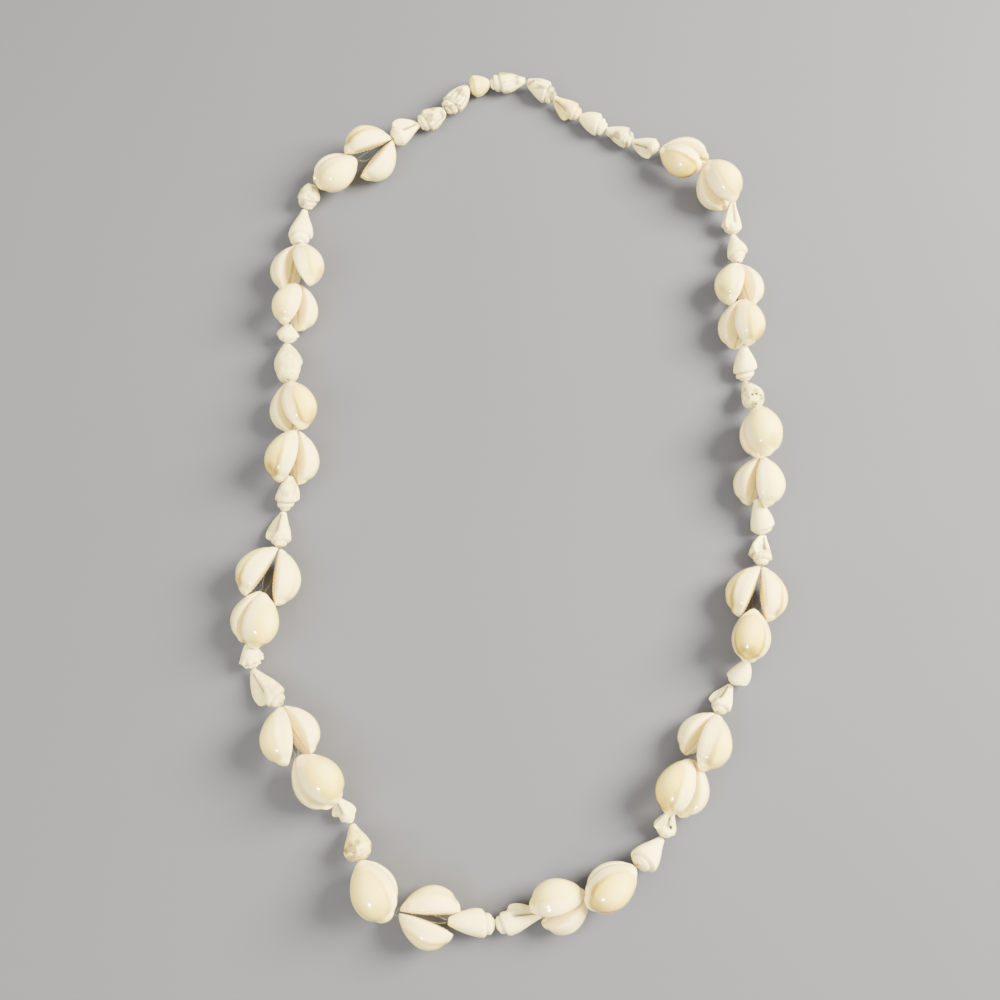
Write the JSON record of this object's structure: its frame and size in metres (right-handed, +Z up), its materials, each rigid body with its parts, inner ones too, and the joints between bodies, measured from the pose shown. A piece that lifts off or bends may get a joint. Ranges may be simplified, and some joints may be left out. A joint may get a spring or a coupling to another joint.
{
  "type": "shell necklace",
  "caption": "Long open-loop necklace of ring cowries strung base to base in pairs, alternating crossed and flat, with small spiral shells between them, on two strands of thread.",
  "frame": {"origin": "Middle of the box round the necklace, on the surface it lies on.", "axes": "+Y runs from the bottom of the loop to its neck end, +Z up from the surface, +X toward the side of the loop that is on the picture's right."},
  "size_m": [0.1952, 0.3246, 0.0198],
  "materials": {
    "cowrie": "polished natural cowrie shell, warm white with a thin yellow-olive ring on the back",
    "spiral_shell": "satin natural shell, off-white with faint grey marks in its grooves",
    "thread": "thin whitish stringing thread"
  },
  "bodies": {
    "root": {"cowrie_pair_right_1": "cowrie", "cowrie_pair_right_2": "cowrie", "cowrie_pair_right_3": "cowrie", "cowrie_pair_right_4": "cowrie", "cowrie_pair_right_5": "cowrie", "cowrie_pair_right_6": "cowrie", "cowrie_pair_right_7": "cowrie", "cowrie_pair_right_8": "cowrie", "cowrie_pair_right_9": "cowrie", "cowrie_pair_right_10": "cowrie", "cowrie_pair_right_11": "cowrie", "cowrie_pair_right_12": "cowrie", "cowrie_pair_left_1": "cowrie", "cowrie_pair_left_2": "cowrie", "cowrie_pair_left_3": "cowrie", "cowrie_pair_left_4": "cowrie", "cowrie_pair_left_5": "cowrie", "cowrie_pair_left_6": "cowrie", "cowrie_pair_left_7": "cowrie", "cowrie_pair_left_8": "cowrie", "cowrie_pair_left_9": "cowrie", "cowrie_pair_left_10": "cowrie", "cowrie_pair_left_11": "cowrie", "cowrie_pair_left_12": "cowrie", "neck_shells_right": "spiral_shell", "neck_shells_left": "spiral_shell", "spacer_shells_right_1": "spiral_shell", "spacer_shells_right_2": "spiral_shell", "spacer_shells_right_3": "spiral_shell", "spacer_shells_right_4": "spiral_shell", "spacer_shells_right_5": "spiral_shell", "spacer_shells_left_1": "spiral_shell", "spacer_shells_left_2": "spiral_shell", "spacer_shells_left_3": "spiral_shell", "spacer_shells_left_4": "spiral_shell", "spacer_shells_left_5": "spiral_shell", "bottom_shells": "spiral_shell", "thread": "thread"}
  },
  "joints": []
}
